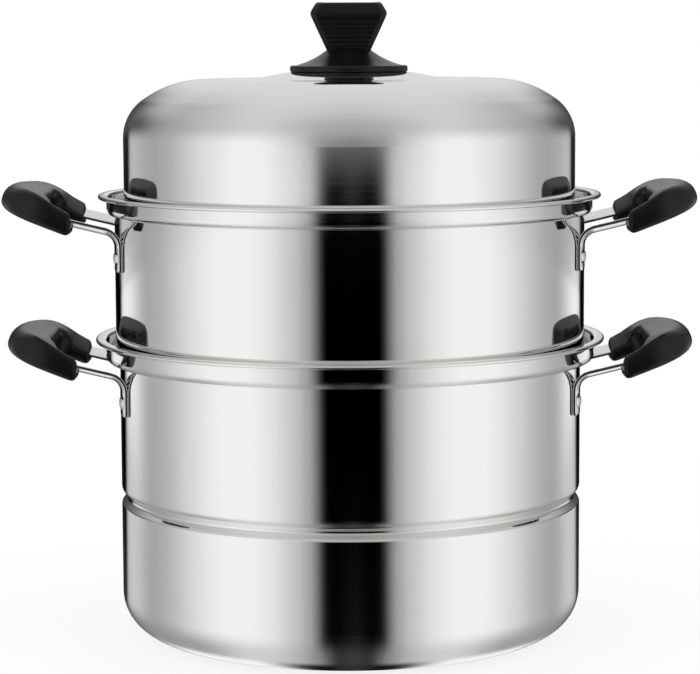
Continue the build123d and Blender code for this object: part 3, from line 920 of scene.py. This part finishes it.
def strip_ring(frame_here, width, thickness):
    """Outline of the strip with its rolled edges, in a frame."""
    centre, across, through = frame_here
    x, y = width / 2, thickness / 2
    corners = [(x, -y), (x, y), (-x, y), (-x, -y)]
    outline = rounded_polygon(corners, [min(strip_round, 0.9 * y)] * 4, corner_steps)
    return [centre + across * point.x + through * point.y for point in outline]


def strap_mesh(name, wall, rim):
    """The bent strap of the right-hand handle: one half and its mirror image. The faces along
    its two long edges, between the corners' arcs, are dull edge metal whose darker colour is painted shade."""
    half = strap_frames(wall, rim)
    flip = Vector((1, -1, 1))
    other = [
        ((centre * flip, -(across * flip), through * flip), width, thickness)
        for (centre, across, through), width, thickness in half[:-1]
    ]
    frames = half + other[::-1]
    strap = lofted(name, [strip_ring(*entry) for entry in frames], strip_steel)
    strap.data.materials.append(shaded_strip_edge)
    # The long edge faces get the edge metal, whose darker colour is painted shade.
    half_ring = 2 * (corner_steps + 1)
    for face in strap.data.polygons:
        on_side = face.index < 2 * half_ring * (len(frames) - 1)
        if on_side and abs(face.index % half_ring - corner_steps) <= 1:
            face.material_index = 1
    return strap


for body, wall, rim in vessels:
    for side in ("right", "left"):
        strap = strap_mesh(f"{body}_strap_{side}_bent", wall, rim)
        if side == "left":
            strap.data.transform(Matrix.Rotation(pi, 4, "Z"))
        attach(strap, body)
        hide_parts(f"{body}_strap_{side}")


# Rivets: polished domed heads outside, a shank through strap and wall, and a flat tail inside.
# One rivet is turned on the lathe and set at the four feet of a vessel.
rivet_drop = 36.0
rivet_head, rivet_dome_rise, head_top = 4.5, 1.85, 4.0
rivet_brim, brim_start, dome_inset = 0.15, 0.2, 0.02
rivet_shank = 2.25
rivet_tail, tail_edge, tail_face, tail_end = 4.0, 0.4, -0.86, -2.06

riveted, given = new_tree(
    "rivets_round_a_wall",
    {
        "Rivet": "Geometry",
        "Wall radius": "Float",
        "Level": "Float",
        "Foot angle": "Float",
        "Metal": "Material",
    },
)
index = add_node(riveted, "GeometryNodeInputIndex")
odd = add_node(riveted, "ShaderNodeMath", (index, 2.0), operation="MODULO")
hand = add_node(riveted, "ShaderNodeMath", (odd, -2.0, 1.0), operation="MULTIPLY_ADD")
pair = add_node(riveted, "ShaderNodeMath", (index, 0.5, 0.01), operation="MULTIPLY_ADD")
pair = add_node(riveted, "ShaderNodeMath", (pair,), operation="FLOOR")
half_turn = add_node(riveted, "ShaderNodeMath", (pair, pi), operation="MULTIPLY")
turn = add_node(
    riveted, "ShaderNodeMath", (hand, given["Foot angle"], half_turn), operation="MULTIPLY_ADD"
)
ways = [add_node(riveted, "ShaderNodeMath", (turn,), operation=part) for part in ("COSINE", "SINE")]
outward = add_node(riveted, "ShaderNodeCombineXYZ", ways)
reach = [
    add_node(riveted, "ShaderNodeMath", (way, given["Wall radius"]), operation="MULTIPLY")
    for way in ways
]
spot = add_node(riveted, "ShaderNodeCombineXYZ", (*reach, given["Level"]))
spots = add_node(riveted, "GeometryNodePoints", {"Count": 4, "Position": spot})
standing = add_node(riveted, "FunctionNodeAlignRotationToVector", {"Vector": outward}, axis="Z")
heads = add_node(
    riveted,
    "GeometryNodeInstanceOnPoints",
    {"Points": spots, "Instance": given["Rivet"], "Rotation": standing},
)
end_tree(riveted, heads, given["Metal"])

# Polished rivet steel: it is as bright as the strip, and only slightly softer than the walls.
rivet_steel = strip_steel.copy()
rivet_steel.name = "polished_stainless_rivet"
dome = (rivet_head**2 + rivet_dome_rise**2) / (2 * rivet_dome_rise)
dome_edge = degrees(asin((rivet_head - dome_inset) / dome))
rivet_outline = [Vector((0.0, tail_end)), Vector((rivet_tail - tail_edge, tail_end))]
rivet_outline += round_edge((rivet_tail - tail_edge, tail_end + tail_edge), tail_edge, -90, 0, 4)
rivet_outline += [
    Vector((rivet_tail, tail_face)),
    Vector((rivet_shank, tail_face)),
    Vector((rivet_shank, strip_thickness)),
    Vector((rivet_head - brim_start, strip_thickness)),
]
brim_centre = (rivet_head - rivet_brim, strip_thickness + rivet_brim)
rivet_outline += round_edge(brim_centre, rivet_brim, -90, 0, 4)
rivet_outline += round_edge((0, head_top - dome), dome, 90 - dome_edge, 90, 14)
for body, wall, rim in vessels:
    rivets = spun_piece(body + "_rivets_set", rivet_outline, 48, rivet_steel)
    rivets = plain_mesh(
        rivets,
        riveted,
        {
            "Wall radius": wall * mm,
            "Level": (rim - rivet_drop) * mm,
            "Foot angle": foot_lean(wall),
            "Metal": rivet_steel,
        },
    )
    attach(rivets, body)
    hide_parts(f"{body}_rivets_left", f"{body}_rivets_right")


# Grips: the same black resin as the knob, pressed in soft dies. The U is swept from the end
# of one leg round the broad bar to the other; the legs fall away inwards, the bar is level.
# Each is held from below by a nickel-plated screw in a round recess.
grip_low = -1.8
grip_height, grip_climb = 12.4, 0.16
droop_start, droop = 20.0, 0.0095
leg_inner, leg_outer = 32.0, 50.0
leg_run = 14.0
leg_dish = 7.5
leg_end = 0.8
tip_lean, tip_back = 0.38, 3.8
tip_sides, tip_under, tip_over = 3.0, 5.0, 2.5
inner_low, outer_low, outer_high, inner_high = 3.0, 3.5, 2.6, 4.5  # rounding of a leg's edges
outer_low_more, outer_high_more = 1.5, 6.4  # by how much the bar's outer edges are rounder
elbow = Vector((10.0, 23.0))
elbow_steps = 14
inner_bend = 9.0
bar_bulge, bar_bow = 35.5, 2.6
search_reach, search_rounds = 60.0, 40
recess_radius, recess_top, recess_start = 4.1, 5.9, -9.0
screw_reach = 28.5
screw_lowered = 1.3  # as the straps' arms, which lie that much lower than in the CAD frame


def grip_top(x):
    """Height of the grip's outer top edge at a reach, above the grip's own base line."""
    return grip_height + grip_climb * x - droop * max(0.0, x - droop_start) ** 2


def grip_section(width, low, high_outer, high_inner, radii):
    """Section of the U, from its inner side (0) to its outer side (width)."""
    corners = [(0, low), (width, low), (width, high_outer), (0, high_inner)]
    least = 0.42 * min(width, high_inner - low)
    limits = (least, least, 0.58 * (high_outer - low), least)
    return rounded_polygon(corners, [min(pair) for pair in zip(radii, limits)], 6)


def bar_reach(y):
    """Reach of the bar's bowed outside."""
    return elbow.x + bar_bulge * (1 - (abs(y) / leg_outer) ** bar_bow) ** (1 / bar_bow)


def grip_rings():
    """Sections of half a grip, from the tip of a leg to the middle of the bar."""
    rings = []
    for distance in (0.0, 0.1, 0.3, 0.6, 1.0, 1.6, 2.4, 3.4, 5.0, 7.5, 10.5, leg_run):
        share = distance / leg_run
        side, under, over = (end_inset(distance, radius) for radius in (tip_sides, tip_under, tip_over))
        width = leg_outer - leg_inner - 2 * side
        high = grip_top(leg_end + (elbow.x - leg_end) * share) - over
        radii = (inner_low, outer_low, outer_high, inner_high)
        ring = []
        for point in grip_section(width, grip_low + under, high, high - leg_dish, radii):
            tip = tip_lean * point.y - tip_back
            ring.append(Vector((tip + (elbow.x - tip) * share, leg_inner + side + point.x, point.y)))
        rings.append(ring)
    spans = []
    for step in range(1, elbow_steps + 1):
        turn = pi / 2 * step / elbow_steps
        way = Vector((sin(turn), cos(turn)))
        near, far = inner_bend, search_reach
        for _ in range(search_rounds):
            middle = (near + far) / 2
            spot = elbow + way * middle
            outside = spot.y > leg_outer or spot.x > bar_reach(spot.y)
            near, far = (near, middle) if outside else (middle, far)
        spans.append((elbow + inner_bend * way, elbow + near * way))
    for y in (19.0, 14.0, 9.5, 5.0, 0.0):
        spans.append((Vector((elbow.x + inner_bend, y)), Vector((bar_reach(y), y))))
    for inner, outer in spans:
        across = (outer - inner).normalized()
        bar = across.x
        section = grip_section(
            (outer - inner).length,
            grip_low,
            grip_top(outer.x),
            grip_top(inner.x) - leg_dish * (1 - bar) ** 2,
            (inner_low, outer_low + outer_low_more * bar, outer_high + outer_high_more * bar**3, inner_high),
        )
        rings.append([(inner + across * point.x).to_3d() + Vector((0, 0, point.y)) for point in section])
    return rings


def grip_mesh(name, wall, rim):
    """The grip of the right-hand handle, with the recess for its screw."""
    half = grip_rings()
    other = [[Vector((point.x, -point.y, point.z)) for point in ring] for ring in half[:-1]]
    grip = lofted(name, half + other[::-1], bakelite)
    recess_outline = [
        Vector((0, recess_start)),
        Vector((recess_radius, recess_start)),
        Vector((recess_radius, recess_top)),
        Vector((0, recess_top)),
    ]
    recess = spun_piece("recess", recess_outline, 48, bakelite)
    recess.data.transform(Matrix.Translation((screw_reach * mm, 0, 0)))
    bore = grip.modifiers.new("screw_recess", "BOOLEAN")
    bore.operation = "DIFFERENCE"
    bore.solver = "EXACT"
    bore.object = recess
    grip.data = worked_in(grip)
    grip.modifiers.clear()
    bpy.data.objects.remove(recess)
    faces_outwards(grip)
    place, out, up = grip_frame(wall, rim)
    grip.data.transform(Matrix.Translation(place * mm) @ Matrix.Rotation(-grip_tilt, 4, "Y"))
    return grip


for body, wall, rim in vessels:
    for side, hand in (("left", -1), ("right", 1)):
        grip = grip_mesh(f"{body}_grip_{side}_pressed", wall, rim)
        if side == "left":
            grip.data.transform(Matrix.Rotation(pi, 4, "Z"))
        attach(grip, body)
        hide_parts(f"{body}_grip_{side}")
        screw_name = f"{body}_grip_screw_{side}"
        screw = eased_copy(screw_name + "_turned", screw_name, nickel)
        down = Vector((hand * sin(grip_tilt), 0, -cos(grip_tilt)))
        screw.data.transform(Matrix.Translation(down * screw_lowered * mm))
        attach(screw, body)
        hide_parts(screw_name)


# Studio: a pale floor, and a soft tent that is brightest to the left and right of the lens,
# with a black flag under the lens and black edges behind.
floor_reach = 6.0  # metres
floor_gap = 0.3  # under the base, so that the two don't share a plane
floor_corners = [(x * floor_reach, y * floor_reach, 0) for x, y in ((-1, -1), (1, -1), (1, 1), (-1, 1))]
floor_mesh = bpy.data.meshes.new("floor")
floor_mesh.from_pydata(floor_corners, [], [(0, 1, 2, 3)])
floor = new_piece("floor", floor_mesh)
floor.location.z = -floor_gap * mm
floor.visible_glossy = False
floor_white = new_material("matt_white_floor", "#F2F2F2", {"Roughness": 0.9})
tree = floor_white.node_tree
surface = tree.nodes["Principled BSDF"]
rays = add_node(tree, "ShaderNodeLightPath").outputs
glow = add_node(tree, "ShaderNodeEmission", {"Color": (1, 1, 1, 1), "Strength": 1.6})
lit = add_node(tree, "ShaderNodeMixShader", (0.45, surface, glow))
seen = add_node(tree, "ShaderNodeMixShader", (rays["Is Camera Ray"], surface, lit))
tree.links.new(seen.outputs[0], tree.nodes["Material Output"].inputs["Surface"])
floor_mesh.materials.append(floor_white)

# The tent's greys go by the wall that would mirror them to the lens: halfway between the way
# to the lens and the way of a ray lies the direction that this wall faces.
to_lens = Vector((0, -0.994, 0.110))
flag_turn = radians(0.7)
tent = bpy.data.worlds.new("soft_tent")
tent.use_nodes = True
bpy.context.scene.world = tent
tree = tent.node_tree
way = add_node(tree, "ShaderNodeTexCoord").outputs["Generated"]
halfway = add_node(tree, "ShaderNodeVectorMath", (way, to_lens), operation="ADD")
facing = add_node(tree, "ShaderNodeVectorMath", (halfway,), operation="NORMALIZE")
parts = add_node(tree, "ShaderNodeSeparateXYZ", (facing,)).outputs
towards = add_node(tree, "ShaderNodeMath", (parts["Y"], -1.0), operation="MULTIPLY")
bearing = add_node(tree, "ShaderNodeMath", (parts["X"], towards), operation="ARCTAN2")
bearing = add_node(tree, "ShaderNodeMath", (bearing, flag_turn), operation="SUBTRACT")
bearing = add_node(tree, "ShaderNodeMath", (bearing,), operation="ABSOLUTE")
side_share = add_node(tree, "ShaderNodeMath", (bearing, pi / 2), operation="DIVIDE")


def gradient(stops):
    """A smooth grey ramp over the bearing of a mirror wall, from the front (0) to its edge (90)."""
    ramp = add_node(tree, "ShaderNodeValToRGB", {"Fac": side_share})
    ramp.color_ramp.interpolation = "CARDINAL"
    elements = ramp.color_ramp.elements
    while len(elements) > 1:
        elements.remove(elements[-1])
    for number, (degrees_round, level) in enumerate(stops):
        element = elements[0] if number == 0 else elements.new(degrees_round / 90)
        element.position = degrees_round / 90
        element.color = (level, level, level, 1)
    return ramp


downward = gradient([(0, .03), (15, .08), (22, .6), (32, 1.1), (52, 1), (66, .4), (90, .25)])
under = gradient(
    [(0, .05), (5, .06), (8, .22), (12, .42), (17, .6), (26, .7), (34, .57), (41, .42), (52, .36), (62, .3),
     (72, .2), (80, .1), (90, .1)]
)
low_wall = gradient(
    [(0, .014), (6.5, .014), (8, .11), (10, .36), (12.5, .54), (18.5, .82), (28, 1.02), (39, .87), (47, .63),
     (56.5, .43), (62, .48), (68, .62), (74, .5), (76.6, .01), (90, .01)]
)
upright = gradient(
    [(0, 0), (6.5, 0), (8, .1), (10, .35), (12.5, .54), (18.5, .82), (28, 1.03), (39, .89), (47, .65),
     (56.5, .45), (62, .55), (68, .88), (74, .8), (76.6, .01), (90, .01)]
)
upper = gradient(
    [(0, .02), (6, .02), (8, .2), (10, .53), (13, .73), (20, .95), (27, 1.02), (33, .95), (41, .77),
     (49.5, .54), (57, .42), (62, .43), (67, .58), (73.5, .72), (76.4, .01), (90, .01)]
)
clear = gradient(
    [(0, .25), (8, .36), (12, .6), (20, .9), (27, 1), (33, .93), (41, .77), (49.5, .54), (57, .42), (64, .45),
     (74, .5), (77, .03), (90, .03)]
)
low_slope = gradient(
    [(0, .43), (10, .5), (22, .68), (33, .63), (45, .49), (54, .38), (60, .27), (67, .13), (78, .08),
     (90, .05)]
)
high_slope = gradient(
    [(0, .62), (26, .7), (39, .58), (49, .5), (60, .5), (68, .34), (78, .12), (90, .08)]
)
level_top = gradient([(0, .76), (90, .74)])

# From one grey to the next over the rise of the wall, from straight down (-1) to level (1).
light = downward.outputs[0]
for grey, start, end in (
    (under, -0.85, -0.7),
    (low_wall, -0.6, -0.12),
    (upright, -0.1, -0.02),
    (upper, 0.018, 0.024),
    (clear, 0.024, 0.044),
    (low_slope, 0.06, 0.4),
    (high_slope, 0.4, 0.75),
    (level_top, 0.75, 0.96),
):
    rise = add_node(
        tree,
        "ShaderNodeMapRange",
        {"Value": parts["Z"], "From Min": start, "From Max": end},
        interpolation_type="SMOOTHSTEP",
    )
    light = add_node(
        tree, "ShaderNodeMix", {"Factor": rise, 6: light, 7: grey}, data_type="RGBA"
    ).outputs[2]

# Straight behind the pot, halfway has no length and so no bearing. There, and only low down,
# a dark spot covers the place where the greys of all bearings would meet.
spot_grey = (0.02, 0.02, 0.02, 1)
from_behind = add_node(tree, "ShaderNodeVectorMath", (halfway,), operation="LENGTH").outputs["Value"]
halfway_rise = add_node(tree, "ShaderNodeSeparateXYZ", (halfway,)).outputs["Z"]
beside, above = (
    add_node(
        tree,
        "ShaderNodeMapRange",
        {"Value": value, "From Min": start, "From Max": end},
        interpolation_type="SMOOTHSTEP",
    )
    for value, start, end in ((from_behind, 0.2, 0.36), (halfway_rise, 0.0, 0.1))
)
shown = add_node(tree, "ShaderNodeMath", (beside, above), operation="MAXIMUM")
light = add_node(
    tree, "ShaderNodeMix", {"Factor": shown, 6: spot_grey, 7: light}, data_type="RGBA"
).outputs[2]
rays = add_node(tree, "ShaderNodeLightPath").outputs
white = add_node(tree, "ShaderNodeBackground", {"Color": (1, 1, 1, 1), "Strength": 1.0})
soft = add_node(tree, "ShaderNodeBackground", {"Color": light, "Strength": 1.0})
sky = add_node(tree, "ShaderNodeMixShader", (rays["Is Camera Ray"], soft, white))
tree.links.new(sky.outputs[0], tree.nodes["World Output"].inputs["Surface"])

bpy.context.scene.view_settings.view_transform = "Standard"
